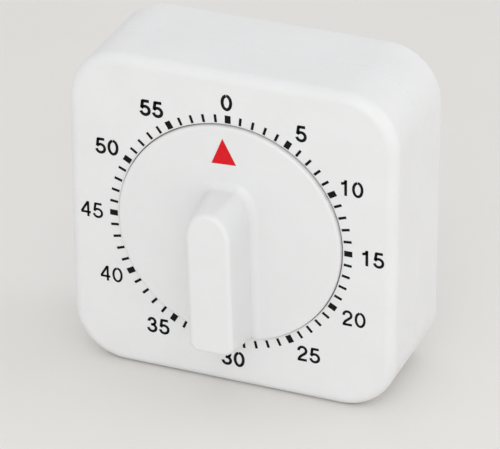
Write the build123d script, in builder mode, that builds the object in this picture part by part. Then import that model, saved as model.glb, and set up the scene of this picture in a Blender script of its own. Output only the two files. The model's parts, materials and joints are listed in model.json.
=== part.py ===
from build123d import *
import os
from math import acos, atan2, cos, degrees, pi, radians, sin, sqrt, tan

# A square bench timer with a rotary dial.  Millimetres, +Z up, the scale facing -Y.
# The origin lies on the base, at the middle of the whole object's width and depth.
# Depths are measured backwards from the front face, and places across the timer from the dial axis.

# Case
CASE_SIDE = 68.0
CASE_DEPTH = 26.0
CASE_CORNER = 11.2
WALL = 2.0
FACE_FILLET = 2.2
BACK_FILLET = 1.2
SPLIT_DEPTH = 13.0
SPLIT_CHAMFER = 0.09
WELL_RADIUS = 23.33
WELL_DEPTH = 1.3
WELL_FLOOR = 1.4
WELL_RIM = 1.8
WELL_EDGE = 0.12

# Dial
DISC_RADIUS = 23.15
DISC_RISE = 0.95
DISC_FILLET = 0.55
DISC_BOTTOM = 0.9
KNOB_WALL = 1.6
GRIP_RISE = 11.4
GRIP_START = 0.2
GRIP_BASE_HALF = 5.1
GRIP_TOP_HALF = 4.5
GRIP_BASE_ENDS = (10.2, -22.6)
GRIP_TOP_ENDS = (9.25, -20.85)
# Reach of the rounded corners across and along the grip, at its upper and lower ends
GRIP_BASE_CORNERS = ((2.4, 6.5), (2.2, 2.2))
GRIP_TOP_CORNERS = ((4.3, 5.6), (2.0, 2.0))
GRIP_EDGE = 1.0
GRIP_FLARE = 1.8
HUB_RADIUS = 3.7
POINTER_BASE = 15.3
POINTER_TIP = 20.7
POINTER_WIDTH = 5.1
POINTER_INLAY = 0.3
POINTER_PROUD = 0.03
KNOB_TURN = 1.5
POINTER_TURN = 2.9

# Printed scale
MARK_COUNT = 60
MARKS_A_NUMBER = 5
MARK_ENDS = (23.65, 25.3)
MARK_WIDTH = 0.54
NUMBERED_MARK_WIDTH = 1.2
MARK_PROUD = 0.03
MARK_TURN = 0.7

# Running fits and gaps
RUN = 0.03
SEAT = 0.02

# Layers of the movement, front and back, as depths behind the face
STOP_LAYER = (5.1, 5.9)
FRONT_PLATE = (6.5, 7.5)
MAINSPRING = (7.8, 11.3)
THIRD_WHEEL = (9.4, 10.2)
ESCAPE_PINION = (8.9, 10.7)
CLUTCH_COLLAR = (11.5, 12.0)
CLUTCH_SPRING = (12.0, 12.38)
MAIN_WHEEL = (12.4, 13.6)
MAIN_FLANGE = (13.62, 14.3)
SECOND_PINION = (12.0, 14.0)
SECOND_WHEEL = (14.6, 15.4)
THIRD_PINION = (14.2, 15.8)
CAM_LAYER = (15.8, 16.8)
ESCAPE_WHEEL = (15.9, 16.5)
ANCHOR_LAYER = (16.6, 17.2)
BACK_PLATE = (17.5, 18.5)
BALANCE_LAYER = (19.5, 20.3)
HAMMER_LAYER = (19.6, 20.4)
HAIRSPRING = (20.6, 20.9)
COLLET_LAYER = (20.32, 21.1)
COCK_LAYER = (21.6, 22.4)

# Going train: 72:8, 60:8 and 48:8 make 405 turns of the escape wheel in an hour
TEETH = {"main": 72, "second": 60, "third": 48}
MODULES = {"main": 0.40, "second": 0.32, "third": 0.30}
LEAVES = 8
MESH_SLACK = 0.05
PRESSURE_ANGLE = 25.0
WHEEL_TOOTH = {"tip": 0.7, "root": 1.2, "share": 0.9, "steps": 2}
PINION_TOOTH = {"tip": 0.9, "root": 1.0, "share": 0.85, "steps": 3}
# Lightening holes: radius of their circle, their own radius and their count
MAIN_HOLES = (8.9, 2.9, 5)
SECOND_HOLES = (5.4, 2.0, 4)
THIRD_HOLES = (4.0, 1.5, 4)
BEARINGS = {"second": -35.0, "third": 62.0, "escape": 100.0, "balance": 80.0}

# Escapement
ESCAPE_TEETH = 16
ESCAPE_TIP = 4.2
ESCAPE_ROOT = 3.3
PALLET_PIN = 0.15
PALLET_GAP = 0.08
PALLET_SPREAD = 30.0
BALANCE_RADIUS = 6.2
ESCAPE_SINK = 0.2
ESCAPE_ROOT_HALF = 4.5
ESCAPE_TIP_HALF = 1.2
ESCAPE_HOLES = 2.1
ESCAPE_HOLE = 0.6
ESCAPE_HOLE_COUNT = 4
ANCHOR_ARM = 0.8
ANCHOR_HUB = 1.4
PALLET_PIN_LENGTH = 0.9
BALANCE_RIM = 1.0
BALANCE_SPOKE = 0.9
BALANCE_CROSS = 2
BALANCE_HUB = 1.6
COLLET_HUB = 1.05
STUD_SIZE = (0.4, 0.8)
COCK_REACH = 9.3
COCK_WIDTH = 4.0
STAFF_CLEARANCE = 1.2

# Plates, pillars and screws
PLATE_SIZE = (52.0, 42.0)
PLATE_CORNER = 3.0
PILLAR_PLACES = [(22.5, 17.5), (-22.5, 17.5), (-22.5, -17.5), (22.5, -17.5)]
PILLAR_RADIUS = 1.6
POST_PLACES = [(0.0, 18.0), (-17.0, -9.5), (6.0, -18.5)]
POST_RADIUS = 2.6
BOSS_REACH = 26.0
BOSS_RADIUS = 3.3
PILLAR_SPIGOT = 0.6
PILLAR_TAP = 4.0
SMALL_HEAD_RADIUS = 1.5
SMALL_HEAD_HEIGHT = 0.8
SMALL_SCREW_SLOT = 0.4

# Bell and hammer
BELL_PLACE = (-6.0, -9.0)
BELL_RADIUS = 15.5
BELL_WALL = 0.6
BELL_DEPTHS = (19.2, 23.2)
BELL_FILLET = 2.6
BELL_STUD = 0.9
NUT_RADIUS = 2.1
NUT_HEIGHT = 0.8
NUT_SIDES = 6
HAMMER_PLACE = (-14.0, 14.0)
HAMMER_HEAD_PLACE = (-22.0, 2.0)
HAMMER_HEAD_RADIUS = 2.0
TAIL_ELBOW = (-10.2, -0.5)
TAIL_TIP = (-7.62, -1.07)
TAIL_HALF = 0.6
TAIL_HUB = 1.7
ARM_WIDTH = 2.0
ARM_HUB = 1.6
RIVET_RADIUS = 0.8
HEAD_BACK = 22.6
HEAD_EDGE = 0.4
CAM_RADIUS = 7.0
CAM_NOTCH_RADIUS = 4.6
CAM_NOTCH = (164.0, 200.0)

# Knob bore and hollows
HUB_RISE = 8.0
HOLLOW_TOE = 0.6
HOLLOW_BASE_ENDS = (GRIP_BASE_ENDS[0] - KNOB_WALL, GRIP_BASE_ENDS[1] + KNOB_WALL + HOLLOW_TOE)
HOLLOW_TOP_ENDS = (GRIP_TOP_ENDS[0] - KNOB_WALL, GRIP_TOP_ENDS[1] + KNOB_WALL)
HOLLOW_CORNERS = ((2.0, 2.0), (1.2, 1.2))
HOLLOW_RISE = DISC_RISE - KNOB_WALL

# Arbors
ARBOR_RADIUS = 1.5
ARBOR_FLAT = 0.5
ARBOR_RISE = 6.2
ARBOR_FLAT_END = 1.1
ARBOR_REAR = 18.9
MAIN_PIVOT = 1.0
PIVOT_RADIUS = 0.5
ARBOR_BODY = 0.8
END_SHAKE = 0.1
COLLET_RADIUS = 2.0
FLANGE_RADIUS = 4.2
CLUTCH_HUB = 2.8
CLUTCH_REACH = 5.6
CLUTCH_ARM_WIDTH = 1.4
CLUTCH_ARMS = 3

# Springs
SPRING_START = 2.3
SPRING_STEP = 0.375
SPRING_HALF_TURNS = 19
SPRING_STRIP = 0.25
SPRING_TAIL = 5.0
SPRING_POST_RADIUS = 0.8
EYE_RADIUS = SPRING_POST_RADIUS + SEAT + SPRING_STRIP / 2
SPRING_POST = (-SPRING_START - SPRING_STEP * (SPRING_HALF_TURNS - 1) - EYE_RADIUS, -SPRING_TAIL)
HAIR_START = 1.2
HAIR_STEP = 0.14
HAIR_HALF_TURNS = 19
HAIR_STRIP = 0.07
HAIR_TAIL = 0.4
LEAF_POST = (-19.5, 6.0)
LEAF_TIP = (-13.9, 9.2)
LEAF_STRIP = 0.3

# Case fastenings and slots
COVER_WALL = 1.8
WELL_BORE = 2.2
SCREW_SKIN = 1.0
SCREW_CLEARANCE = 0.2
CASE_SCREW_RADIUS = 1.1
CASE_SCREW_TIP = 4.0
CASE_HEAD_RADIUS = 2.2
CASE_HEAD_HEIGHT = 1.3
CASE_HEAD_SEAT = 21.5
CASE_SCREW_SLOT = 0.6
SCREW_SLOT_SHARE = 1.3
SCREW_POINT_SHARE = 0.35
SCREW_TOP_SHARE = 0.25
SCREW_SLOT_DEPTH_SHARE = 0.5
POST_SCREW_RADIUS = 0.8
POST_PILOT_DEPTH = 3.0
SLOT_LENGTH = 14.0
SLOT_WIDTH = 1.6
SLOT_PITCH = 4.0
LIP_GAP = 0.05
LIP_WALL = 1.0
LIP_HEIGHT = 1.5
SLOT_OFFSETS = (-2, -1, 0, 1, 2)
SLOT_PLACES = [(BELL_PLACE[0], BELL_PLACE[1] + SLOT_PITCH * k) for k in SLOT_OFFSETS]

# Stop
STOP_RADIUS = 12.0
STOP_PIN_RADIUS = 0.3
STOP_HUB = 3.0
STOP_REACH = 12.6
STOP_ROOT = 1.0
STOP_TIP = 0.22
STOP_ANGLE = 87.0

DIAL_HEIGHT = CASE_SIDE / 2
FACE_Y = GRIP_RISE - (CASE_DEPTH + GRIP_RISE) / 2

os.makedirs("parts", exist_ok=True)


def save(piece, name):
    """Label a finished piece and write it."""
    piece.part.label = name
    export_step(piece.part, f"parts/{name}.step")


def across(depth, turn=0.0):
    """The plane across the dial axis at a depth, turned counter-clockwise as seen from the front."""
    heading = radians(turn)
    rightward = (cos(heading), 0, sin(heading))
    return Plane(origin=(0, FACE_Y + depth, DIAL_HEIGHT), x_dir=rightward, z_dir=(0, -1, 0))


def thickness(layer):
    """How far a sketch on the layer's back plane is extruded to its front plane."""
    return layer[1] - layer[0]


def discs(depth, radius, *places):
    """Circles of one radius on the plane at a depth."""
    with BuildSketch(across(depth)) as sketch:
        with Locations(*places):
            Circle(radius)
    return sketch.sketch


def polar(radius, angle, centre=(0.0, 0.0)):
    """A point at a radius and an angle, counter-clockwise from the right, about a centre."""
    return (centre[0] + radius * cos(radians(angle)), centre[1] + radius * sin(radians(angle)))


def pointer_corners(gap):
    """The pointer's triangle, let out by a gap."""
    half = POINTER_WIDTH / 2 + gap
    return [(-half, POINTER_BASE - gap), (half, POINTER_BASE - gap), (0, POINTER_TIP + 2 * gap)]


# Places of the arbors
PLACES = {"main": (0.0, 0.0)}
for driver, driven in (("main", "second"), ("second", "third"), ("third", "escape")):
    reach = MODULES[driver] * (TEETH[driver] + LEAVES) / 2 + MESH_SLACK
    PLACES[driven] = polar(reach, BEARINGS[driven], PLACES[driver])
PIN_CIRCLE = ESCAPE_TIP + PALLET_PIN + PALLET_GAP
PALLET_REACH = PIN_CIRCLE / cos(radians(PALLET_SPREAD))
PLACES["balance"] = polar(PALLET_REACH, BEARINGS["balance"], PLACES["escape"])
PLACES["hammer"] = HAMMER_PLACE


# ---------------------------------------------------------------- case
def case_section(depth, inset, corner):
    """The case's rounded square at a depth, drawn in by an inset."""
    with BuildSketch(across(depth)) as section:
        RectangleRounded(CASE_SIDE - 2 * inset, CASE_SIDE - 2 * inset, corner)
    return section.sketch


AXIS_PLACE = (0.0, 0.0)
BOSS_PLACES = [(x, y) for x in (-BOSS_REACH, BOSS_REACH) for y in (-BOSS_REACH, BOSS_REACH)]
WELL_BACK = WELL_DEPTH + WELL_FLOOR
COVER_INNER = CASE_DEPTH - COVER_WALL
LIP_INSET = WALL + LIP_GAP
LIP_BACK = SPLIT_DEPTH + LIP_HEIGHT

with BuildPart() as front_case:
    extrude(case_section(SPLIT_DEPTH, 0, CASE_CORNER), amount=SPLIT_DEPTH)
    fillet(front_case.faces().sort_by(Axis.Y)[0].edges(), FACE_FILLET)
    chamfer(front_case.faces().sort_by(Axis.Y)[-1].edges(), SPLIT_CHAMFER)
    room = case_section(SPLIT_DEPTH, WALL, CASE_CORNER - WALL)
    extrude(room, amount=SPLIT_DEPTH - WALL, mode=Mode.SUBTRACT)
    extrude(discs(WELL_BACK, WELL_RADIUS + WELL_RIM, AXIS_PLACE), amount=WELL_BACK - WALL)
    extrude(discs(SPLIT_DEPTH, BOSS_RADIUS, *BOSS_PLACES), amount=SPLIT_DEPTH - WALL)
    post_height = FRONT_PLATE[0] - WELL_BACK
    extrude(discs(FRONT_PLATE[0], POST_RADIUS, *POST_PLACES), amount=post_height)
    extrude(discs(WELL_DEPTH, WELL_RADIUS, AXIS_PLACE), amount=WELL_DEPTH, mode=Mode.SUBTRACT)
    chamfer(front_case.edges().filter_by(GeomType.CIRCLE).group_by(Axis.Y)[0], WELL_EDGE)
    extrude(discs(WELL_BACK, WELL_BORE, AXIS_PLACE), amount=WELL_FLOOR, mode=Mode.SUBTRACT)
    pilots = discs(SPLIT_DEPTH, CASE_SCREW_RADIUS + SEAT, *BOSS_PLACES)
    extrude(pilots, amount=SPLIT_DEPTH - WALL - SCREW_SKIN, mode=Mode.SUBTRACT)
    post_pilots = discs(FRONT_PLATE[0], POST_SCREW_RADIUS + SEAT, *POST_PLACES)
    extrude(post_pilots, amount=POST_PILOT_DEPTH, mode=Mode.SUBTRACT)
save(front_case, "front_case")

with BuildPart() as rear_cover:
    extrude(case_section(CASE_DEPTH, 0, CASE_CORNER), amount=CASE_DEPTH - SPLIT_DEPTH)
    fillet(rear_cover.faces().sort_by(Axis.Y)[-1].edges(), BACK_FILLET)
    chamfer(rear_cover.faces().sort_by(Axis.Y)[0].edges(), SPLIT_CHAMFER)
    room = case_section(COVER_INNER, WALL, CASE_CORNER - WALL)
    extrude(room, amount=COVER_INNER - SPLIT_DEPTH, mode=Mode.SUBTRACT)
    extrude(discs(COVER_INNER, BOSS_RADIUS, *BOSS_PLACES), amount=COVER_INNER - SPLIT_DEPTH)
    shanks = discs(CASE_DEPTH, CASE_SCREW_RADIUS + SCREW_CLEARANCE, *BOSS_PLACES)
    extrude(shanks, amount=CASE_DEPTH - SPLIT_DEPTH, mode=Mode.SUBTRACT)
    heads = discs(CASE_DEPTH, CASE_HEAD_RADIUS + SCREW_CLEARANCE, *BOSS_PLACES)
    extrude(heads, amount=CASE_DEPTH - CASE_HEAD_SEAT, mode=Mode.SUBTRACT)
    with BuildSketch(across(CASE_DEPTH)):
        with Locations(*SLOT_PLACES):
            SlotOverall(SLOT_LENGTH, SLOT_WIDTH)
    extrude(amount=COVER_WALL, mode=Mode.SUBTRACT)
    lip = case_section(LIP_BACK, LIP_INSET, CASE_CORNER - LIP_INSET)
    lip_room = case_section(LIP_BACK, LIP_INSET + LIP_WALL, CASE_CORNER - LIP_INSET - LIP_WALL)
    extrude(lip - lip_room, amount=2 * LIP_HEIGHT)
    ledge = case_section(LIP_BACK, WALL, CASE_CORNER - WALL)
    extrude(ledge - lip_room, amount=LIP_HEIGHT)
save(rear_cover, "rear_cover")


def screws(name, places, radius, tip, seat, head_radius, head_height, slot_width):
    """Cheese-headed screws driven from the back, their tips, seats and heads given as depths."""
    with BuildPart() as group:
        extrude(discs(seat, radius, *places), amount=seat - tip)
        chamfer(group.faces().group_by(Axis.Y)[0].edges(), SCREW_POINT_SHARE * radius)
        top = seat + head_height
        extrude(discs(top, head_radius, *places), amount=head_height)
        fillet(group.faces().group_by(Axis.Y)[-1].edges(), SCREW_TOP_SHARE * head_height)
        with BuildSketch(across(top)):
            with Locations(*places):
                Rectangle(SCREW_SLOT_SHARE * head_radius, slot_width)
                Rectangle(slot_width, SCREW_SLOT_SHARE * head_radius)
        extrude(amount=SCREW_SLOT_DEPTH_SHARE * head_height, mode=Mode.SUBTRACT)
    save(group, name)


screws("case_screws", BOSS_PLACES, CASE_SCREW_RADIUS, CASE_SCREW_TIP, CASE_HEAD_SEAT,
       CASE_HEAD_RADIUS, CASE_HEAD_HEIGHT, CASE_SCREW_SLOT)


# ---------------------------------------------------------------- dial
def grip_outline(rise, half, ends, corners):
    """The grip's plan at a height above the face, with elliptical corners."""
    top, bottom = ends
    (high_across, high_along), (low_across, low_along) = corners
    high = (half - high_across, top - high_along)
    low = (half - low_across, bottom + low_along)
    with BuildSketch(across(-rise, KNOB_TURN)) as plan:
        with BuildLine():
            EllipticalCenterArc(high, high_across, high_along, 0)
            Line((high[0], top), (-high[0], top))
            EllipticalCenterArc((-high[0], high[1]), high_across, high_along, 90)
            Line((-half, high[1]), (-half, low[1]))
            EllipticalCenterArc((-low[0], low[1]), low_across, low_along, 180)
            Line((-low[0], bottom), (low[0], bottom))
            EllipticalCenterArc(low, low_across, low_along, 270)
            Line((half, low[1]), (half, high[1]))
        make_face()
    return plan.sketch


with BuildPart() as dial_knob:
    extrude(discs(DISC_BOTTOM, DISC_RADIUS, AXIS_PLACE), amount=DISC_BOTTOM + DISC_RISE)
    fillet(dial_knob.faces().sort_by(Axis.Y)[0].edges(), DISC_FILLET)
    grip_base = grip_outline(GRIP_START, GRIP_BASE_HALF, GRIP_BASE_ENDS, GRIP_BASE_CORNERS)
    grip_top = grip_outline(GRIP_RISE, GRIP_TOP_HALF, GRIP_TOP_ENDS, GRIP_TOP_CORNERS)
    loft([grip_base.face(), grip_top.face()])
    fillet(dial_knob.faces().sort_by(Axis.Y)[0].edges(), GRIP_EDGE)
    flats = dial_knob.faces().filter_by(Axis.Y)
    disc_top = flats.sort_by(lambda flat: abs(flat.center().Y - FACE_Y + DISC_RISE))[0]
    fillet(disc_top.edges().filter_by(lambda edge: edge.geom_type == GeomType.BSPLINE), GRIP_FLARE)
    under_disc = discs(DISC_BOTTOM, DISC_RADIUS - KNOB_WALL, AXIS_PLACE)
    extrude(under_disc, amount=DISC_BOTTOM + DISC_RISE - KNOB_WALL, mode=Mode.SUBTRACT)
    base_half = GRIP_BASE_HALF - KNOB_WALL
    hollow_base = grip_outline(HOLLOW_RISE, base_half, HOLLOW_BASE_ENDS, HOLLOW_CORNERS)
    top_half = GRIP_TOP_HALF - KNOB_WALL
    hollow_top = grip_outline(GRIP_RISE - KNOB_WALL, top_half, HOLLOW_TOP_ENDS, HOLLOW_CORNERS)
    loft([hollow_base.face(), hollow_top.face()], mode=Mode.SUBTRACT)
    extrude(discs(DISC_BOTTOM, HUB_RADIUS, AXIS_PLACE), amount=DISC_BOTTOM + HUB_RISE)
    with BuildSketch(across(DISC_BOTTOM, KNOB_TURN)):
        Circle(ARBOR_RADIUS + SEAT)
        with Locations((0, ARBOR_RADIUS + SEAT - ARBOR_FLAT)):
            Rectangle(2 * HUB_RADIUS, ARBOR_FLAT, align=(Align.CENTER, Align.MIN), mode=Mode.SUBTRACT)
    extrude(amount=DISC_BOTTOM + HUB_RISE - KNOB_WALL, mode=Mode.SUBTRACT)
    with BuildSketch(across(-DISC_RISE, POINTER_TURN)):
        Polygon(*pointer_corners(SEAT), align=None)
    extrude(amount=-POINTER_INLAY, mode=Mode.SUBTRACT)
save(dial_knob, "dial_knob")

with BuildPart() as pointer_mark:
    with BuildSketch(across(POINTER_INLAY - DISC_RISE, POINTER_TURN)):
        Polygon(*pointer_corners(0), align=None)
    extrude(amount=POINTER_INLAY + POINTER_PROUD)
save(pointer_mark, "pointer_mark")

# ---------------------------------------------------------------- printed scale
with BuildPart() as scale_marks:
    mark_middle = (MARK_ENDS[0] + MARK_ENDS[1]) / 2
    mark_length = MARK_ENDS[1] - MARK_ENDS[0]
    with BuildSketch(across(0, MARK_TURN)):
        with PolarLocations(mark_middle, MARK_COUNT):
            Rectangle(mark_length, MARK_WIDTH)
        with PolarLocations(mark_middle, MARK_COUNT // MARKS_A_NUMBER):
            Rectangle(mark_length, NUMBERED_MARK_WIDTH)
    extrude(amount=MARK_PROUD)
save(scale_marks, "scale_marks")


# ---------------------------------------------------------------- wheels, pinions and arbors
def toothed_outline(teeth, module, tooth, turn):
    """The corners of a wheel or pinion with short involute flanks, one tooth turned to an angle."""
    pitch_radius = teeth * module / 2
    base_radius = pitch_radius * cos(radians(PRESSURE_ANGLE))
    root_radius = pitch_radius - tooth["root"] * module
    tip_radius = pitch_radius + tooth["tip"] * module
    flank_radius = max(base_radius, root_radius)
    pitch_half = pi / (2 * teeth) * tooth["share"] + involute(radians(PRESSURE_ANGLE))
    steps = tooth["steps"]
    radii = [root_radius]
    radii += [flank_radius + (tip_radius - flank_radius) * k / steps for k in range(steps + 1)]
    corners = []
    for number in range(teeth):
        middle = radians(turn) + 2 * pi * number / teeth
        flank = []
        for radius in radii:
            half = pitch_half - involute(acos(min(1, base_radius / radius)))
            flank.append((radius, half))
        corners += [(radius * cos(middle - half), radius * sin(middle - half)) for radius, half in flank]
        corners += [(radius * cos(middle + half), radius * sin(middle + half))
                    for radius, half in reversed(flank)]
    return corners


def involute(angle):
    """The involute of an angle, in radians."""
    return tan(angle) - angle


def wheel(name, arbor, layer, turn, bore, holes):
    """A train wheel with round lightening holes, given as their circle, radius and count."""
    hole_circle, hole_radius, hole_count = holes
    corners = toothed_outline(TEETH[arbor], MODULES[arbor], WHEEL_TOOTH, turn)
    with BuildPart() as piece:
        with BuildSketch(across(layer[1])):
            with Locations(PLACES[arbor]):
                Polygon(*corners, align=None)
                Circle(bore, mode=Mode.SUBTRACT)
                with PolarLocations(hole_circle, hole_count):
                    Circle(hole_radius, mode=Mode.SUBTRACT)
        extrude(amount=thickness(layer))
    save(piece, name)


def pinion_arbor(name, arbor, layer, module, driver_bearing):
    """An arbor with pivots in both plates and a pinion whose gap faces its driving wheel."""
    place = PLACES[arbor]
    turn = driver_bearing + 180 + 180 / LEAVES
    corners = toothed_outline(LEAVES, module, PINION_TOOTH, turn)
    with BuildPart() as piece:
        extrude(discs(BACK_PLATE[1], PIVOT_RADIUS, place), amount=BACK_PLATE[1] - FRONT_PLATE[0])
        shoulder = BACK_PLATE[0] - END_SHAKE
        extrude(discs(shoulder, ARBOR_BODY, place), amount=shoulder - FRONT_PLATE[1] - END_SHAKE)
        with BuildSketch(across(layer[1])):
            with Locations(place):
                Polygon(*corners, align=None)
        extrude(amount=thickness(layer))
    save(piece, name)


def sleeve(name, place, layer, radius, bore):
    """A plain ring on an arbor."""
    with BuildPart() as piece:
        extrude(discs(layer[1], radius, place) - discs(layer[1], bore, place), amount=thickness(layer))
    save(piece, name)


def bar(depth, start, end, width):
    """A straight bar with round ends between two places."""
    run = (end[0] - start[0], end[1] - start[1])
    length = sqrt(run[0] ** 2 + run[1] ** 2)
    middle = ((start[0] + end[0]) / 2, (start[1] + end[1]) / 2)
    heading = degrees(atan2(run[1], run[0]))
    with BuildSketch(across(depth)) as sketch:
        with Locations(Location((*middle, 0), (0, 0, heading))):
            SlotOverall(length + width, width)
    return sketch.sketch


def spiral(depth, place, start_radius, step, half_turns, strip, tail):
    """A flat spiral strip of half circles on two centres, ending in a straight tail downwards."""
    x, y = place
    radii = [start_radius + step * k for k in range(half_turns)]
    centres = [(x + step * (k % 2), y) for k in range(half_turns)]
    end = x - radii[-1]
    with BuildSketch(across(depth)) as sketch:
        with BuildLine():
            for side in (strip / 2, -strip / 2):
                for k in range(half_turns):
                    CenterArc(centres[k], radii[k] + side, 180 * (k % 2), 180)
                Line((end - side, y), (end - side, y - tail))
            Line((x + start_radius - strip / 2, y), (x + start_radius + strip / 2, y))
            Line((end - strip / 2, y - tail), (end + strip / 2, y - tail))
        make_face()
    return sketch.sketch


# ---------------------------------------------------------------- main arbor
with BuildPart() as main_arbor:
    rear_shoulder = BACK_PLATE[0] - END_SHAKE
    extrude(discs(ARBOR_REAR, MAIN_PIVOT, AXIS_PLACE), amount=ARBOR_REAR - rear_shoulder)
    extrude(discs(rear_shoulder, ARBOR_RADIUS, AXIS_PLACE), amount=rear_shoulder + ARBOR_RISE)
    with BuildSketch(across(ARBOR_FLAT_END, KNOB_TURN)):
        with Locations((0, ARBOR_RADIUS - ARBOR_FLAT)):
            Rectangle(2 * ARBOR_RADIUS, ARBOR_RADIUS, align=(Align.CENTER, Align.MIN))
    extrude(amount=ARBOR_FLAT_END + ARBOR_RISE, mode=Mode.SUBTRACT)
save(main_arbor, "main_arbor")

wheel("main_wheel", "main", MAIN_WHEEL, BEARINGS["second"], COLLET_RADIUS + SEAT, MAIN_HOLES)

with BuildPart() as main_collet:
    extrude(discs(MAIN_FLANGE[1], FLANGE_RADIUS, AXIS_PLACE), amount=thickness(MAIN_FLANGE))
    extrude(discs(MAIN_FLANGE[0], COLLET_RADIUS, AXIS_PLACE), amount=MAIN_FLANGE[0] - MAIN_WHEEL[0])
    bore = discs(MAIN_FLANGE[1], ARBOR_RADIUS + SEAT, AXIS_PLACE)
    extrude(bore, amount=MAIN_FLANGE[1] - MAIN_WHEEL[0], mode=Mode.SUBTRACT)
save(main_collet, "main_collet")

with BuildPart() as clutch_spring:
    with BuildSketch(across(CLUTCH_SPRING[1])):
        Circle(CLUTCH_HUB)
        with PolarLocations(CLUTCH_REACH / 2, CLUTCH_ARMS):
            SlotOverall(CLUTCH_REACH, CLUTCH_ARM_WIDTH)
        Circle(ARBOR_RADIUS + SEAT, mode=Mode.SUBTRACT)
    extrude(amount=thickness(CLUTCH_SPRING))
save(clutch_spring, "clutch_spring")

sleeve("clutch_collar", AXIS_PLACE, CLUTCH_COLLAR, COLLET_RADIUS, ARBOR_RADIUS + SEAT)

with BuildPart() as release_cam:
    with BuildSketch(across(CAM_LAYER[1])):
        Circle(CAM_NOTCH_RADIUS)
        with BuildLine():
            rim_arc = CenterArc(AXIS_PLACE, CAM_RADIUS, CAM_NOTCH[1], 360 - CAM_NOTCH[1] + CAM_NOTCH[0])
            Line(AXIS_PLACE, rim_arc @ 0)
            Line(rim_arc @ 1, AXIS_PLACE)
        make_face()
        Circle(ARBOR_RADIUS + SEAT, mode=Mode.SUBTRACT)
    extrude(amount=thickness(CAM_LAYER))
save(release_cam, "release_cam")

with BuildPart() as stop_arm:
    with BuildSketch(across(STOP_LAYER[1])):
        Circle(STOP_HUB)
        with Locations(Location((0, 0, 0), (0, 0, STOP_ANGLE))):
            Polygon(
                (0, -STOP_ROOT),
                (STOP_REACH, -STOP_TIP),
                (STOP_REACH, STOP_TIP),
                (0, STOP_ROOT),
                align=None,
            )
        Circle(ARBOR_RADIUS + SEAT, mode=Mode.SUBTRACT)
    extrude(amount=thickness(STOP_LAYER))
save(stop_arm, "stop_arm")

# ---------------------------------------------------------------- going train
pinion_arbor("second_arbor", "second", SECOND_PINION, MODULES["main"], BEARINGS["second"])
wheel("second_wheel", "second", SECOND_WHEEL, BEARINGS["third"], ARBOR_BODY + SEAT, SECOND_HOLES)
pinion_arbor("third_arbor", "third", THIRD_PINION, MODULES["second"], BEARINGS["third"])
wheel("third_wheel", "third", THIRD_WHEEL, BEARINGS["escape"], ARBOR_BODY + SEAT, THIRD_HOLES)
pinion_arbor("escape_arbor", "escape", ESCAPE_PINION, MODULES["third"], BEARINGS["escape"])

with BuildPart() as escape_wheel:
    with BuildSketch(across(ESCAPE_WHEEL[1])):
        with Locations(PLACES["escape"]):
            Circle(ESCAPE_ROOT)
            for number in range(ESCAPE_TEETH):
                heading = BEARINGS["balance"] + 360 * number / ESCAPE_TEETH
                Polygon(
                    polar(ESCAPE_ROOT - ESCAPE_SINK, heading - ESCAPE_ROOT_HALF),
                    polar(ESCAPE_TIP, heading - ESCAPE_TIP_HALF),
                    polar(ESCAPE_TIP, heading + ESCAPE_TIP_HALF),
                    polar(ESCAPE_ROOT - ESCAPE_SINK, heading + ESCAPE_ROOT_HALF),
                    align=None,
                )
            with PolarLocations(ESCAPE_HOLES, ESCAPE_HOLE_COUNT):
                Circle(ESCAPE_HOLE, mode=Mode.SUBTRACT)
            Circle(ARBOR_BODY + SEAT, mode=Mode.SUBTRACT)
    extrude(amount=thickness(ESCAPE_WHEEL))
save(escape_wheel, "escape_wheel")

# ---------------------------------------------------------------- balance
BALANCE = PLACES["balance"]
PIN_BEARINGS = (BEARINGS["balance"] - PALLET_SPREAD, BEARINGS["balance"] + PALLET_SPREAD)
PIN_PLACES = [polar(PIN_CIRCLE, bearing, PLACES["escape"]) for bearing in PIN_BEARINGS]

with BuildPart() as balance_staff:
    extrude(discs(COCK_LAYER[1], PIVOT_RADIUS, BALANCE), amount=COCK_LAYER[1] - FRONT_PLATE[0])
    staff_shoulder = COCK_LAYER[0] - END_SHAKE
    staff_length = staff_shoulder - FRONT_PLATE[1] - END_SHAKE
    extrude(discs(staff_shoulder, ARBOR_BODY, BALANCE), amount=staff_length)
save(balance_staff, "balance_staff")

with BuildPart() as pallet_anchor:
    for pin_place in PIN_PLACES:
        extrude(bar(ANCHOR_LAYER[1], BALANCE, pin_place, ANCHOR_ARM), amount=thickness(ANCHOR_LAYER))
    extrude(discs(ANCHOR_LAYER[1], ANCHOR_HUB, BALANCE), amount=thickness(ANCHOR_LAYER))
    extrude(discs(ANCHOR_LAYER[0], PALLET_PIN, *PIN_PLACES), amount=PALLET_PIN_LENGTH)
    staff_bore = discs(ANCHOR_LAYER[1], ARBOR_BODY + SEAT, BALANCE)
    extrude(staff_bore, amount=thickness(ANCHOR_LAYER), mode=Mode.SUBTRACT)
save(pallet_anchor, "pallet_anchor")

with BuildPart() as balance_wheel:
    with BuildSketch(across(BALANCE_LAYER[1])):
        with Locations(BALANCE):
            Circle(BALANCE_RADIUS)
            Circle(BALANCE_RADIUS - BALANCE_RIM, mode=Mode.SUBTRACT)
            with PolarLocations(0, BALANCE_CROSS, angular_range=180):
                Rectangle(2 * BALANCE_RADIUS - BALANCE_RIM, BALANCE_SPOKE)
            Circle(BALANCE_HUB)
            Circle(ARBOR_BODY + SEAT, mode=Mode.SUBTRACT)
    extrude(amount=thickness(BALANCE_LAYER))
save(balance_wheel, "balance_wheel")

sleeve("hairspring_collet", BALANCE, COLLET_LAYER, COLLET_HUB, ARBOR_BODY + SEAT)

with BuildPart() as hairspring:
    extrude(spiral(HAIRSPRING[1], BALANCE, HAIR_START, HAIR_STEP, HAIR_HALF_TURNS, HAIR_STRIP, HAIR_TAIL),
            amount=thickness(HAIRSPRING))
save(hairspring, "hairspring")

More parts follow.
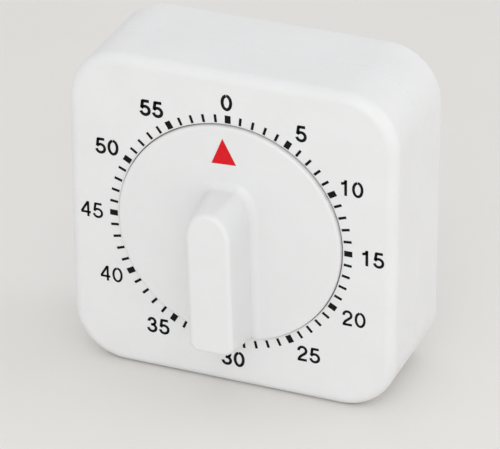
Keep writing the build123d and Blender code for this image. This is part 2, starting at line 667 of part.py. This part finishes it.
HAIR_END = (BALANCE[0] - HAIR_START - HAIR_STEP * (HAIR_HALF_TURNS - 1), BALANCE[1] - HAIR_TAIL - SEAT)
with BuildPart() as hairspring_stud:
    with BuildSketch(across(COCK_LAYER[0])):
        with Locations(HAIR_END):
            Rectangle(*STUD_SIZE, align=(Align.CENTER, Align.MAX))
    extrude(amount=COCK_LAYER[0] - HAIRSPRING[0] + END_SHAKE)
save(hairspring_stud, "hairspring_stud")

COCK_FOOT = (BALANCE[0] - COCK_REACH, BALANCE[1])
with BuildPart() as balance_cock:
    extrude(bar(COCK_LAYER[1], COCK_FOOT, BALANCE, COCK_WIDTH), amount=thickness(COCK_LAYER))
    extrude(discs(COCK_LAYER[0], COCK_WIDTH / 2, COCK_FOOT), amount=COCK_LAYER[0] - BACK_PLATE[1])
    pivot_bore = discs(COCK_LAYER[1], PIVOT_RADIUS + RUN, BALANCE)
    extrude(pivot_bore, amount=thickness(COCK_LAYER), mode=Mode.SUBTRACT)
    cock_bore = discs(COCK_LAYER[1], POST_SCREW_RADIUS + SEAT, COCK_FOOT)
    extrude(cock_bore, amount=COCK_LAYER[1] - BACK_PLATE[1], mode=Mode.SUBTRACT)
save(balance_cock, "balance_cock")
screws("cock_screw", [COCK_FOOT], POST_SCREW_RADIUS, BACK_PLATE[0], COCK_LAYER[1],
       SMALL_HEAD_RADIUS, SMALL_HEAD_HEIGHT, SMALL_SCREW_SLOT)

# ---------------------------------------------------------------- mainspring
with BuildPart() as mainspring:
    extrude(spiral(MAINSPRING[1], AXIS_PLACE, SPRING_START, SPRING_STEP, SPRING_HALF_TURNS, SPRING_STRIP,
                   SPRING_TAIL), amount=thickness(MAINSPRING))
    eye = discs(MAINSPRING[1], EYE_RADIUS + SPRING_STRIP / 2, SPRING_POST)
    eye_room = discs(MAINSPRING[1], EYE_RADIUS - SPRING_STRIP / 2, SPRING_POST)
    extrude(eye - eye_room, amount=thickness(MAINSPRING))
save(mainspring, "mainspring")

with BuildPart() as spring_post:
    post_top = MAINSPRING[1] + END_SHAKE
    extrude(discs(post_top, SPRING_POST_RADIUS, SPRING_POST), amount=post_top - FRONT_PLATE[0])
save(spring_post, "spring_post")

# ---------------------------------------------------------------- frame of the movement
SMALL_ARBORS = [PLACES[name] for name in ("second", "third", "escape", "balance", "hammer")]
STOP_PIN_PLACE = (0.0, STOP_RADIUS)


def plate(name, layer, holes):
    """A movement plate with holes given as (radius, places)."""
    with BuildPart() as piece:
        with BuildSketch(across(layer[1])):
            RectangleRounded(*PLATE_SIZE, PLATE_CORNER)
            for radius, places in holes:
                with Locations(*places):
                    Circle(radius, mode=Mode.SUBTRACT)
        extrude(amount=thickness(layer))
    save(piece, name)


plate("front_plate", FRONT_PLATE, [
    (ARBOR_RADIUS + RUN, [AXIS_PLACE]),
    (PIVOT_RADIUS + RUN, SMALL_ARBORS),
    (PILLAR_SPIGOT + SEAT, PILLAR_PLACES),
    (POST_SCREW_RADIUS + SCREW_CLEARANCE, POST_PLACES),
    (SPRING_POST_RADIUS + SEAT, [SPRING_POST]),
    (STOP_PIN_RADIUS + SEAT, [STOP_PIN_PLACE]),
])
plate("back_plate", BACK_PLATE, [
    (MAIN_PIVOT + RUN, [AXIS_PLACE]),
    (PIVOT_RADIUS + RUN, [PLACES[name] for name in ("second", "third", "escape", "hammer")]),
    (STAFF_CLEARANCE, [BALANCE]),
    (POST_SCREW_RADIUS + SCREW_CLEARANCE, PILLAR_PLACES),
    (POST_SCREW_RADIUS + SEAT, [COCK_FOOT]),
    (PILLAR_SPIGOT + SEAT, [BELL_PLACE, LEAF_POST]),
])

with BuildPart() as pillars:
    extrude(discs(BACK_PLATE[0], PILLAR_RADIUS, *PILLAR_PLACES), amount=BACK_PLATE[0] - FRONT_PLATE[1])
    extrude(discs(FRONT_PLATE[1], PILLAR_SPIGOT, *PILLAR_PLACES), amount=thickness(FRONT_PLATE))
    tapped = discs(BACK_PLATE[0], POST_SCREW_RADIUS + SEAT, *PILLAR_PLACES)
    extrude(tapped, amount=PILLAR_TAP, mode=Mode.SUBTRACT)
save(pillars, "pillars")

PLATE_SCREW_TIP = BACK_PLATE[0] - PILLAR_TAP + END_SHAKE
screws("plate_screws", PILLAR_PLACES, POST_SCREW_RADIUS, PLATE_SCREW_TIP, BACK_PLATE[1],
       SMALL_HEAD_RADIUS, SMALL_HEAD_HEIGHT, SMALL_SCREW_SLOT)
MOVEMENT_SCREW_TIP = FRONT_PLATE[0] - POST_PILOT_DEPTH + SCREW_SKIN / 2
screws("movement_screws", POST_PLACES, POST_SCREW_RADIUS, MOVEMENT_SCREW_TIP, FRONT_PLATE[1],
       SMALL_HEAD_RADIUS, SMALL_HEAD_HEIGHT, SMALL_SCREW_SLOT)

with BuildPart() as stop_pin:
    extrude(discs(FRONT_PLATE[1], STOP_PIN_RADIUS, STOP_PIN_PLACE), amount=FRONT_PLATE[1] - STOP_LAYER[0])
save(stop_pin, "stop_pin")

# ---------------------------------------------------------------- bell
with BuildPart() as bell_dome:
    extrude(discs(BELL_DEPTHS[1], BELL_RADIUS, BELL_PLACE), amount=thickness(BELL_DEPTHS))
    fillet(bell_dome.faces().sort_by(Axis.Y)[-1].edges(), BELL_FILLET)
    offset(amount=-BELL_WALL, openings=bell_dome.faces().sort_by(Axis.Y)[0])
    stud_bore = discs(BELL_DEPTHS[1], BELL_STUD + SEAT, BELL_PLACE)
    extrude(stud_bore, amount=thickness(BELL_DEPTHS), mode=Mode.SUBTRACT)
save(bell_dome, "bell_dome")

BELL_SEAT = BELL_DEPTHS[1] - BELL_WALL
with BuildPart() as bell_post:
    extrude(discs(BELL_SEAT, PILLAR_RADIUS, BELL_PLACE), amount=BELL_SEAT - BACK_PLATE[1])
    extrude(discs(BACK_PLATE[1], PILLAR_SPIGOT, BELL_PLACE), amount=thickness(BACK_PLATE))
    extrude(discs(BELL_DEPTHS[1] + NUT_HEIGHT, BELL_STUD, BELL_PLACE), amount=BELL_WALL + NUT_HEIGHT)
save(bell_post, "bell_post")

with BuildPart() as bell_nut:
    with BuildSketch(across(BELL_DEPTHS[1] + NUT_HEIGHT)):
        with Locations(BELL_PLACE):
            RegularPolygon(NUT_RADIUS, NUT_SIDES)
            Circle(BELL_STUD + SEAT, mode=Mode.SUBTRACT)
    extrude(amount=NUT_HEIGHT)
save(bell_nut, "bell_nut")

# ---------------------------------------------------------------- hammer
with BuildPart() as hammer_arbor:
    extrude(discs(HAMMER_LAYER[1], PIVOT_RADIUS, HAMMER_PLACE), amount=HAMMER_LAYER[1] - FRONT_PLATE[0])
    hammer_shoulder = BACK_PLATE[0] - END_SHAKE
    hammer_length = hammer_shoulder - FRONT_PLATE[1] - END_SHAKE
    extrude(discs(hammer_shoulder, ARBOR_BODY, HAMMER_PLACE), amount=hammer_length)
save(hammer_arbor, "hammer_arbor")

with BuildPart() as hammer_tail:
    extrude(bar(CAM_LAYER[1], HAMMER_PLACE, TAIL_ELBOW, 2 * TAIL_HALF), amount=thickness(CAM_LAYER))
    extrude(bar(CAM_LAYER[1], TAIL_ELBOW, TAIL_TIP, 2 * TAIL_HALF), amount=thickness(CAM_LAYER))
    extrude(discs(CAM_LAYER[1], TAIL_HUB, HAMMER_PLACE), amount=thickness(CAM_LAYER))
    tail_bore = discs(CAM_LAYER[1], ARBOR_BODY + SEAT, HAMMER_PLACE)
    extrude(tail_bore, amount=thickness(CAM_LAYER), mode=Mode.SUBTRACT)
save(hammer_tail, "hammer_tail")

with BuildPart() as hammer_arm:
    arm = bar(HAMMER_LAYER[1], HAMMER_PLACE, HAMMER_HEAD_PLACE, ARM_WIDTH)
    extrude(arm, amount=thickness(HAMMER_LAYER))
    extrude(discs(HAMMER_LAYER[1], ARM_HUB, HAMMER_PLACE), amount=thickness(HAMMER_LAYER))
    arm_bore = discs(HAMMER_LAYER[1], PIVOT_RADIUS + SEAT, HAMMER_PLACE)
    extrude(arm_bore, amount=thickness(HAMMER_LAYER), mode=Mode.SUBTRACT)
    arm_rivet = discs(HAMMER_LAYER[1], RIVET_RADIUS + SEAT, HAMMER_HEAD_PLACE)
    extrude(arm_rivet, amount=thickness(HAMMER_LAYER), mode=Mode.SUBTRACT)
save(hammer_arm, "hammer_arm")

with BuildPart() as hammer_head:
    extrude(discs(HEAD_BACK, HAMMER_HEAD_RADIUS, HAMMER_HEAD_PLACE), amount=HEAD_BACK - HAMMER_LAYER[1])
    extrude(discs(HAMMER_LAYER[1], RIVET_RADIUS, HAMMER_HEAD_PLACE), amount=thickness(HAMMER_LAYER))
    fillet(hammer_head.faces().sort_by(Axis.Y)[-1].edges(), HEAD_EDGE)
save(hammer_head, "hammer_head")

with BuildPart() as hammer_spring:
    extrude(discs(BACK_PLATE[1], PILLAR_SPIGOT, LEAF_POST), amount=thickness(BACK_PLATE))
    extrude(discs(BACK_PLATE[0], PILLAR_RADIUS, LEAF_POST), amount=BACK_PLATE[0] - CAM_LAYER[0])
    extrude(bar(CAM_LAYER[1], LEAF_POST, LEAF_TIP, LEAF_STRIP), amount=thickness(CAM_LAYER))
save(hammer_spring, "hammer_spring")
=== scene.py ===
import json
import math

import bmesh
import bpy
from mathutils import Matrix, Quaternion, Vector


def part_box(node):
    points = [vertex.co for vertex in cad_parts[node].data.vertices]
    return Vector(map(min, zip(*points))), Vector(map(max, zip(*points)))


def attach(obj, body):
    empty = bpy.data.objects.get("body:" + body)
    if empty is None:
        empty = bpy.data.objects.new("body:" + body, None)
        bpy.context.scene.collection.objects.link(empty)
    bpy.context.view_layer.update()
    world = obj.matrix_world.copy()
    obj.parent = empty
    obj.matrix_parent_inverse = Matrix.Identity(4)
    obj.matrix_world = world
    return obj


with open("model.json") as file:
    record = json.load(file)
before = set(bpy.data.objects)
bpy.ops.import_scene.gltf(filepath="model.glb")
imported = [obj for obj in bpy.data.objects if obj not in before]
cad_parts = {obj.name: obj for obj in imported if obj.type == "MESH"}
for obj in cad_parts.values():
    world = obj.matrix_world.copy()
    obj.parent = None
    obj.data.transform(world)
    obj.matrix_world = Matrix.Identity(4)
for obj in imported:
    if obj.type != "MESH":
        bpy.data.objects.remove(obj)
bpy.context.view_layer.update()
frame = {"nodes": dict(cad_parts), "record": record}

MM = 0.001

# ---------------------------------------------------------------- places, from the frame
CASE_LOW, CASE_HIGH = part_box("front_case")
FACE_Y = CASE_LOW.y
DIAL_CENTRE = Vector((0, FACE_Y, (CASE_LOW.z + CASE_HIGH.z) / 2))


def on_face(x, up, proud):
    """A point by the front face, measured from the dial axis and out of the face."""
    return Vector((DIAL_CENTRE.x + x, FACE_Y - proud, DIAL_CENTRE.z + up))


# ---------------------------------------------------------------- material nodes
NOISE_MIDDLE = (0.3, 0.7)       # most of a noise's values lie between these

PLASTIC_IOR = 1.53
GLOW = 0.05
GLOW_REACH = 0.8 * MM
MOTTLE_SIZE = 9 * MM
HANDLING_SIZE = 14 * MM
PLASTIC_UNEVENNESS = (-0.04, 0.05)
PEBBLE_SIZE = 0.28 * MM
PEBBLE_DEPTH = 0.0022 * MM
SINK_SIZE = 16 * MM
SINK_DEPTH = 0.03 * MM
# Painted shade: a grey that the plastic's colour is drawn towards in corners, gaps and at the foot of
# the grip
PAINTED_SHADE_TONE = (0.52, 0.50, 0.47)
PAINTED_SHADE_SAMPLES = 8
PAINTED_SHADE_RANGE = (0.25, 0.9)        # how open a corner is, from full painted shade to none

INK_IOR = 1.5
INK_SPECULAR = 0.12
INK_UNEVENNESS = (-0.06, 0.08)
INK_PATCH_SIZE = 0.5 * MM
INK_PATCH_RANGE = (0.35, 0.75)
INK_FILM_SIZE = 0.2 * MM
INK_FILM_DEPTH = 0.002 * MM

METAL_UNEVENNESS = (-0.07, 0.1)
TARNISH_SIZE = 4 * MM
TARNISH_RANGE = (0.3, 0.75)
TOOL_MARK_DEPTH = 0.004 * MM
FLAT_GRAIN = (9, 1, 1)
ROUND_GRAIN = (1, 12, 1)


class Shader:
    """A Principled material under construction, with short calls for the nodes used here."""

    def __init__(self, name, **sockets):
        self.material = bpy.data.materials.new(name)
        self.material.use_nodes = True
        self.tree = self.material.node_tree
        self.surface = self.tree.nodes["Principled BSDF"]
        self.place = self.tree.nodes.new("ShaderNodeTexCoord").outputs["Object"]
        for socket, value in sockets.items():
            self.surface.inputs[socket.replace("_", " ")].default_value = value

    def node(self, kind, **settings):
        made = self.tree.nodes.new("ShaderNode" + kind)
        for name, value in settings.items():
            setattr(made, name, value)
        return made

    def link(self, output, socket):
        self.tree.links.new(output, socket)

    def noise(self, size, detail=3.0, stretch=(1, 1, 1)):
        """Noise whose features are about this size in metres, stretched along the axes."""
        spread = self.node("Mapping")
        spread.inputs["Scale"].default_value = [1 / (size * s) for s in stretch]
        self.link(self.place, spread.inputs["Vector"])
        noise = self.node("TexNoise")
        noise.inputs["Scale"].default_value = 1.0
        noise.inputs["Detail"].default_value = detail
        self.link(spread.outputs["Vector"], noise.inputs["Vector"])
        return noise.outputs["Fac"]

    def spread(self, value, low, high, new_low, new_high):
        """A value taken from one range to another."""
        ramp = self.node("MapRange")
        limits = (("From Min", low), ("From Max", high), ("To Min", new_low), ("To Max", new_high))
        for socket, limit in limits:
            ramp.inputs[socket].default_value = limit
        self.link(value, ramp.inputs["Value"])
        return ramp.outputs["Result"]

    def blend(self, factor, first, second):
        """A colour between two colours, each a colour or a node's output."""
        mix = self.node("Mix", data_type="RGBA")
        self.link(factor, mix.inputs["Factor"])
        for socket, colour in ((mix.inputs["A"], first), (mix.inputs["B"], second)):
            if isinstance(colour, tuple):
                socket.default_value = (*colour, 1)
            else:
                self.link(colour, socket)
        return mix.outputs["Result"]

    def roughness(self, rough, unevenness, pattern):
        """Roughness that varies a little with a noise."""
        limits = [rough + change for change in unevenness]
        self.link(self.spread(pattern, *NOISE_MIDDLE, *limits), self.surface.inputs["Roughness"])

    def bump(self, height, depth, after=None):
        """A bump of a real depth in metres, on top of another bump."""
        bump = self.node("Bump")
        bump.inputs["Strength"].default_value = 1.0
        bump.inputs["Distance"].default_value = depth
        self.link(height, bump.inputs["Height"])
        if after is not None:
            self.link(after, bump.inputs["Normal"])
        return bump.outputs["Normal"]


def moulded_plastic(name, light, dark, rough, shade_reach, shade_amount):
    """White moulded plastic: faint mottling, satin gloss, a fine pebble and painted shade darkening
    the corners.
    """
    shader = Shader(name, IOR=PLASTIC_IOR, Subsurface_Weight=GLOW, Subsurface_Scale=GLOW_REACH)
    mottle = shader.spread(shader.noise(MOTTLE_SIZE, detail=4.0), *NOISE_MIDDLE, 0.0, 1.0)
    body = shader.blend(mottle, dark, light)
    # Painted shade: the colour darkens towards a grey where the ambient occlusion finds a corner or a
    # gap
    corner = shader.node("AmbientOcclusion", samples=PAINTED_SHADE_SAMPLES)
    corner.inputs["Distance"].default_value = shade_reach
    painted_shade = shader.spread(corner.outputs["AO"], *PAINTED_SHADE_RANGE, shade_amount, 0.0)
    shader.link(shader.blend(painted_shade, body, PAINTED_SHADE_TONE), shader.surface.inputs["Base Color"])
    shader.roughness(rough, PLASTIC_UNEVENNESS, shader.noise(HANDLING_SIZE, detail=5.0))
    pebble = shader.bump(shader.noise(PEBBLE_SIZE, detail=2.0), PEBBLE_DEPTH)
    sink = shader.bump(shader.noise(SINK_SIZE, detail=1.0), SINK_DEPTH, pebble)
    shader.link(sink, shader.surface.inputs["Normal"])
    return shader.material


def printed_ink(name, colour, faded, rough):
    """A thin printed film, a little uneven in tone and gloss."""
    shader = Shader(name, IOR=INK_IOR, Specular_IOR_Level=INK_SPECULAR)
    patch = shader.spread(shader.noise(INK_PATCH_SIZE, detail=4.0), *INK_PATCH_RANGE, 0.0, 1.0)
    shader.link(shader.blend(patch, colour, faded), shader.surface.inputs["Base Color"])
    film = shader.noise(INK_FILM_SIZE)
    shader.roughness(rough, INK_UNEVENNESS, film)
    shader.link(shader.bump(film, INK_FILM_DEPTH), shader.surface.inputs["Normal"])
    return shader.material


def worked_metal(name, light, dark, rough, grain, stretch):
    """Metal with tool marks drawn out along one direction and a little tarnish."""
    shader = Shader(name, Metallic=1.0)
    tarnish = shader.spread(shader.noise(TARNISH_SIZE, detail=5.0), *TARNISH_RANGE, 0.0, 1.0)
    shader.link(shader.blend(tarnish, light, dark), shader.surface.inputs["Base Color"])
    marks = shader.noise(grain, detail=4.0, stretch=stretch)
    shader.roughness(rough, METAL_UNEVENNESS, marks)
    shader.link(shader.bump(marks, TOOL_MARK_DEPTH), shader.surface.inputs["Normal"])
    return shader.material


# Light tone, dark tone and roughness, then how far the painted shade reaches out of a corner and its
# amount
PLASTICS = {
    "case_plastic": ((0.80, 0.805, 0.81), (0.775, 0.78, 0.785), 0.34, 1.2 * MM, 0.15),
    "knob_plastic": ((0.785, 0.79, 0.795), (0.765, 0.77, 0.775), 0.32, 3 * MM, 0.35),
}
# Fresh tone, faded tone and roughness
INKS = {
    "pointer_red": ((0.71, 0.010, 0.018), (0.63, 0.008, 0.016), 0.42),
    "scale_ink": ((0.003, 0.003, 0.0035), (0.008, 0.008, 0.0085), 0.6),
}
# Clean tone, tarnished tone and roughness, then the width and direction of the tool marks
METALS = {
    "plate_steel": ((0.62, 0.63, 0.65), (0.48, 0.49, 0.52), 0.34, 0.12 * MM, FLAT_GRAIN),
    "arbor_steel": ((0.56, 0.57, 0.59), (0.44, 0.45, 0.47), 0.26, 0.1 * MM, ROUND_GRAIN),
    "spring_steel": ((0.16, 0.19, 0.27), (0.26, 0.25, 0.28), 0.28, 0.2 * MM, ROUND_GRAIN),
    "wheel_brass": ((0.74, 0.55, 0.24), (0.56, 0.39, 0.16), 0.3, 0.12 * MM, FLAT_GRAIN),
    "bell_steel": ((0.78, 0.77, 0.74), (0.66, 0.65, 0.62), 0.16, 0.3 * MM, FLAT_GRAIN),
    "screw_steel": ((0.60, 0.60, 0.62), (0.42, 0.42, 0.45), 0.32, 0.1 * MM, FLAT_GRAIN),
}
MATERIALS = {}
for make, kinds in ((moulded_plastic, PLASTICS), (printed_ink, INKS), (worked_metal, METALS)):
    for name, looks in kinds.items():
        MATERIALS[name] = make(name, *looks)

for subpart in frame["record"]["subparts"]:
    mesh = frame["nodes"][subpart["node"]].data
    mesh.materials.clear()
    mesh.materials.append(MATERIALS[subpart["material_slot"]])


# ---------------------------------------------------------------- printed scale
INK_PROUD = 0.03 * MM
INK_SUNK = 0.01 * MM
PRINT_TURN = math.radians(0.7)

FIGURE_HEIGHT = 3.33 * MM
FIGURE_ADVANCE = 0.78           # from one figure to the next, as a share of the height
FIGURE_WIDTH = 0.66
WELD_REACH = 0.0005 * MM

# Each number's middle in millimetres from the dial axis, right and up along the print,
# and the width of its strokes as a share of its height
NUMBERS = {
    0: (-0.2, 28.0, 0.19), 5: (15.0, 24.05, 0.185), 10: (25.1, 14.15, 0.165),
    15: (29.4, -0.25, 0.17), 20: (25.6, -14.1, 0.155), 25: (16.2, -23.9, 0.165),
    30: (0.2, -28.0, 0.18), 35: (-15.7, -23.8, 0.17), 40: (-25.5, -13.95, 0.14),
    45: (-29.2, -0.2, 0.145), 50: (-25.5, 14.25, 0.175), 55: (-15.8, 24.1, 0.195),
}


def on_print(x, up, proud):
    """A point of the printing, which is turned a little on the face."""
    return on_face(x * math.cos(PRINT_TURN) - up * math.sin(PRINT_TURN),
                   up * math.cos(PRINT_TURN) + x * math.sin(PRINT_TURN), proud)


def piece_from(mesh, name, material, body):
    """A named object from a bmesh, riding on a body."""
    bmesh.ops.recalc_face_normals(mesh, faces=mesh.faces)
    data = bpy.data.meshes.new(name)
    mesh.to_mesh(data)
    mesh.free()
    data.materials.append(MATERIALS[material])
    piece = bpy.data.objects.new(name, data)
    bpy.context.scene.collection.objects.link(piece)
    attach(piece, body)


def arc(centre, radii, start, sweep, steps=20):
    """Points along an ellipse's arc, angles in degrees, counter-clockwise from the right."""
    points = []
    for k in range(steps + 1):
        angle = math.radians(start + sweep * k / steps)
        points.append((centre[0] + radii[0] * math.cos(angle), centre[1] + radii[1] * math.sin(angle)))
    return points


def bend(start, first, second, end, steps=14):
    """Points along a cubic curve."""
    points = []
    for k in range(steps + 1):
        t = k / steps
        u = 1 - t
        weights = (u ** 3, 3 * u * u * t, 3 * u * t * t, t ** 3)
        pulls = list(zip(weights, (start, first, second, end)))
        points.append(tuple(sum(weight * point[i] for weight, point in pulls) for i in (0, 1)))
    return points


# Each figure as strokes along its middle line, on a height of 1
FIGURES = {
    "0": [arc((0.33, 0.5), (0.262, 0.43), 90, 360, 40)],
    "1": [[(0.375, 0.0), (0.375, 1.0)], bend((0.10, 0.755), (0.25, 0.76), (0.36, 0.80), (0.39, 0.97))],
    "2": [
        arc((0.325, 0.69), (0.235, 0.243), 185, -205)
        + bend((0.545, 0.60), (0.47, 0.44), (0.13, 0.33), (0.10, 0.06))[1:],
        [(0.03, 0.065), (0.60, 0.065)],
    ],
    "3": [
        arc((0.32, 0.725), (0.205, 0.21), 180, -265) + [(0.25, 0.52)],
        [(0.25, 0.52)] + arc((0.32, 0.29), (0.245, 0.228), 85, -265),
    ],
    "4": [[(0.475, 0.0), (0.475, 1.0)], [(0.45, 0.96), (0.06, 0.31)], [(0.02, 0.29), (0.635, 0.29)]],
    "5": [
        [(0.57, 0.93), (0.13, 0.93)],
        [(0.175, 0.97), (0.105, 0.475)],
        arc((0.315, 0.325), (0.262, 0.265), 152, -322),
    ],
}


def stroke_outline(points, half):
    """The outline of a stroke, square across its ends."""
    left, right = [], []
    for k, (x, y) in enumerate(points):
        before = points[max(k - 1, 0)]
        after = points[min(k + 1, len(points) - 1)]
        run = math.hypot(after[0] - before[0], after[1] - before[1])
        across = ((before[1] - after[1]) / run * half, (after[0] - before[0]) / run * half)
        left.append((x + across[0], y + across[1]))
        right.append((x - across[0], y - across[1]))
    return left, right


def ribbon(mesh, points, half, origin, closed):
    """A slab of ink along a stroke, placed on the face."""
    left, right = stroke_outline(points, half)
    if closed:
        left[0] = left[-1] = (points[0][0], points[0][1] + half)
        right[0] = right[-1] = (points[0][0], points[0][1] - half)
    rows = []
    for pair in zip(left, right):
        row = []
        for proud in (INK_PROUD, -INK_SUNK):
            for x, y in pair:
                spot = on_print(origin[0] + x * FIGURE_HEIGHT, origin[1] + y * FIGURE_HEIGHT, proud)
                row.append(mesh.verts.new(spot))
        rows.append(row)
    for near, far in zip(rows, rows[1:]):
        mesh.faces.new((near[0], near[1], far[1], far[0]))
        mesh.faces.new((near[2], far[2], far[3], near[3]))
        mesh.faces.new((near[0], far[0], far[2], near[2]))
        mesh.faces.new((near[1], near[3], far[3], far[1]))
    if closed:
        bmesh.ops.remove_doubles(mesh, verts=rows[0] + rows[-1], dist=WELD_REACH)
    else:
        mesh.faces.new((rows[0][0], rows[0][2], rows[0][3], rows[0][1]))
        mesh.faces.new((rows[-1][0], rows[-1][1], rows[-1][3], rows[-1][2]))


def scale_number(minute, x, up, stroke_width):
    """One upright number of the scale."""
    text = str(minute)
    width = (FIGURE_ADVANCE * (len(text) - 1) + FIGURE_WIDTH) * FIGURE_HEIGHT
    left = x * MM - width / 2
    foot = up * MM - FIGURE_HEIGHT / 2
    mesh = bmesh.new()
    for position, figure in enumerate(text):
        origin = (left + position * FIGURE_ADVANCE * FIGURE_HEIGHT, foot)
        for stroke in FIGURES[figure]:
            ribbon(mesh, stroke, stroke_width / 2, origin, figure == "0")
    piece_from(mesh, f"number_{minute:02d}", "scale_ink", "case")


for minute, (x, up, stroke_width) in NUMBERS.items():
    scale_number(minute, x, up, stroke_width)


# ---------------------------------------------------------------- floor, light and camera
FLOOR_HALF = 3.0
FLOOR_IOR = 1.45
FLOOR_ROUGHNESS = 0.6
FLOOR_PATCH_SIZE = 60 * MM
FLOOR_TONES = ((0.79, 0.77, 0.745), (0.81, 0.795, 0.775))

SURROUND_STRENGTH = 0.82
# Each light's place and side in metres, and its power in watts
LIGHTS = {
    "key_light": ((0.12, -0.42, 0.42), 0.35, 0.39),
    "front_light": ((0.1, -0.7, 0.15), 0.4, 0.64),
    "side_light": ((0.5, -0.12, 0.32), 0.3, 0.16),
    "low_light": ((0.5, -0.45, 0.12), 0.35, 0.21),
    "rim_light": ((0.45, 0.2, 0.3), 0.3, 0.25),
}


def floor():
    """A plain pale floor under the timer."""
    mesh = bmesh.new()
    corners = ((-1, -1), (1, -1), (1, 1), (-1, 1))
    mesh.faces.new([mesh.verts.new((x * FLOOR_HALF, y * FLOOR_HALF, 0)) for x, y in corners])
    data = bpy.data.meshes.new("floor")
    mesh.to_mesh(data)
    mesh.free()
    shader = Shader("floor", IOR=FLOOR_IOR, Roughness=FLOOR_ROUGHNESS)
    tone = shader.spread(shader.noise(FLOOR_PATCH_SIZE, detail=5.0), *NOISE_MIDDLE, 0.0, 1.0)
    shader.link(shader.blend(tone, *FLOOR_TONES), shader.surface.inputs["Base Color"])
    data.materials.append(shader.material)
    ground = bpy.data.objects.new("floor", data)
    bpy.context.scene.collection.objects.link(ground)


def aimed(thing, place, target, roll=0.0):
    """Puts a light or camera at a place, looking at a target, upright but for a roll in degrees."""
    upright = (Vector(target) - Vector(place)).to_track_quat("-Z", "Y")
    thing.location = place
    thing.rotation_euler = (upright @ Quaternion((0, 0, 1), math.radians(roll))).to_euler()


def soft_light(name, place, side, power):
    """A square soft light aimed at the timer."""
    data = bpy.data.lights.new(name, "AREA")
    data.size = side
    data.energy = power
    light = bpy.data.objects.new(name, data)
    bpy.context.scene.collection.objects.link(light)
    aimed(light, place, DIAL_CENTRE)


def studio():
    """Even white surroundings and large soft lights."""
    world = bpy.data.worlds.new("studio")
    world.use_nodes = True
    background = world.node_tree.nodes["Background"]
    background.inputs["Color"].default_value = (1, 1, 1, 1)
    background.inputs["Strength"].default_value = SURROUND_STRENGTH
    bpy.context.scene.world = world
    for name, (place, side, power) in LIGHTS.items():
        soft_light(name, place, side, power)
    bpy.context.scene.view_settings.view_transform = "Standard"


CAMERA_AZIMUTH = math.radians(21.95)
CAMERA_ELEVATION = math.radians(28.37)
CAMERA_DISTANCE = 696.1 * MM
CAMERA_LENS = 259.0
CAMERA_SENSOR = 36.0
CAMERA_REACH = 20.0
CAMERA_AIM = (3.34 * MM, 2.18 * MM, 1.43 * MM)
CAMERA_ROLL = -0.16


def camera():
    """A long lens in front of the timer, to its right and above."""
    data = bpy.data.cameras.new("camera")
    data.sensor_width = CAMERA_SENSOR
    data.lens = CAMERA_LENS
    data.clip_end = CAMERA_REACH
    view = bpy.data.objects.new("camera", data)
    bpy.context.scene.collection.objects.link(view)
    level = math.cos(CAMERA_ELEVATION)
    across = math.sin(CAMERA_AZIMUTH) * level
    forward = -math.cos(CAMERA_AZIMUTH) * level
    back = Vector((across, forward, math.sin(CAMERA_ELEVATION)))
    aim = DIAL_CENTRE + Vector(CAMERA_AIM)
    aimed(view, aim + back * CAMERA_DISTANCE, aim, CAMERA_ROLL)
    bpy.context.scene.camera = view


floor()
studio()
camera()
